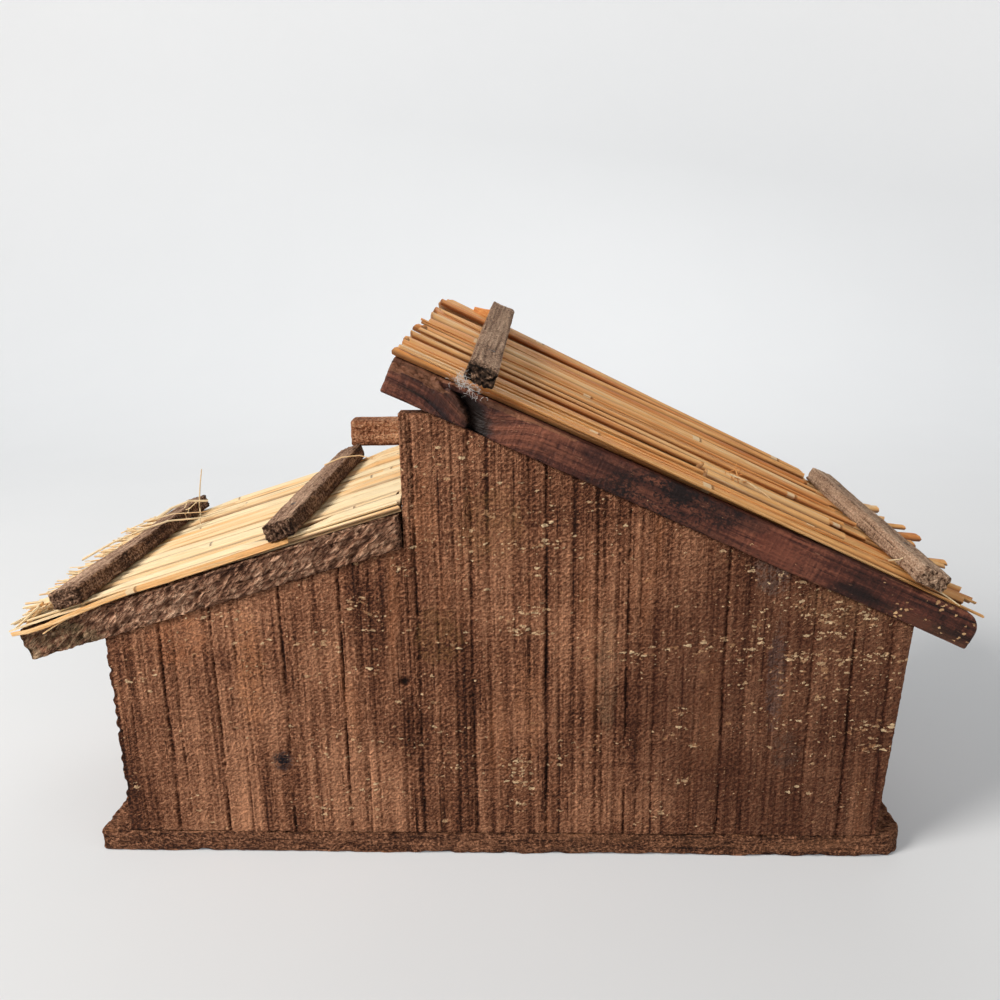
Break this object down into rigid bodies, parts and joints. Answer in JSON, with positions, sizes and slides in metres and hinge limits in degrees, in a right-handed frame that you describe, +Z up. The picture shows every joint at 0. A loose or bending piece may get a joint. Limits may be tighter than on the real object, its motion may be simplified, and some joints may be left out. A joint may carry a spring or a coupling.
{
  "type": "nativity stable",
  "caption": "Small rough-sawn wooden nativity stable with an open front, a stepped back wall, and a low and a high sloping roof of loose reeds held down by wooden battens.",
  "frame": {"origin": "middle of the base board's underside", "axes": "+X along the back wall towards the main roof's eave, +Y from the back wall to the open front, +Z up"},
  "size_m": [0.3514, 0.1421, 0.1994],
  "materials": {
    "stained_board": "rough-sawn, dark stain",
    "stained_stick": "rough-sawn, brown stain",
    "dark_stick": "dark red-brown stain",
    "weathered_batten": "weathered grey-brown",
    "reed": "dry reed, slight sheen",
    "nail_steel": "dull, slightly rusted"
  },
  "bodies": {
    "root": {"base_board": "stained_board", "back_wall": "stained_board", "left_side_wall": "stained_board", "right_side_wall": "stained_board", "left_front_post": "stained_stick", "middle_front_post": "stained_stick", "right_front_post": "stained_stick", "tie_beam": "stained_stick", "lean_to_back_rafter": "stained_stick", "lean_to_front_rafter": "stained_stick", "lean_to_eave_purlin": "stained_stick", "lean_to_step_purlin": "stained_stick", "main_ridge_purlin": "stained_stick", "main_middle_purlin": "stained_stick", "main_eave_purlin": "stained_stick", "main_back_rafter": "dark_stick", "main_front_rafter": "dark_stick", "lean_to_eave_batten": "weathered_batten", "lean_to_step_batten": "weathered_batten", "main_ridge_batten": "weathered_batten", "main_eave_batten": "weathered_batten", "lean_to_reeds": "reed", "main_reeds_course_1": "reed", "main_reeds_course_2": "reed", "main_reeds_course_3": "reed", "main_reeds_course_4": "reed", "lean_to_batten_nails": "nail_steel", "main_batten_nails": "nail_steel", "lean_to_rafter_nails": "nail_steel", "main_rafter_nails": "nail_steel", "tie_beam_nails": "nail_steel"}
  },
  "joints": []
}
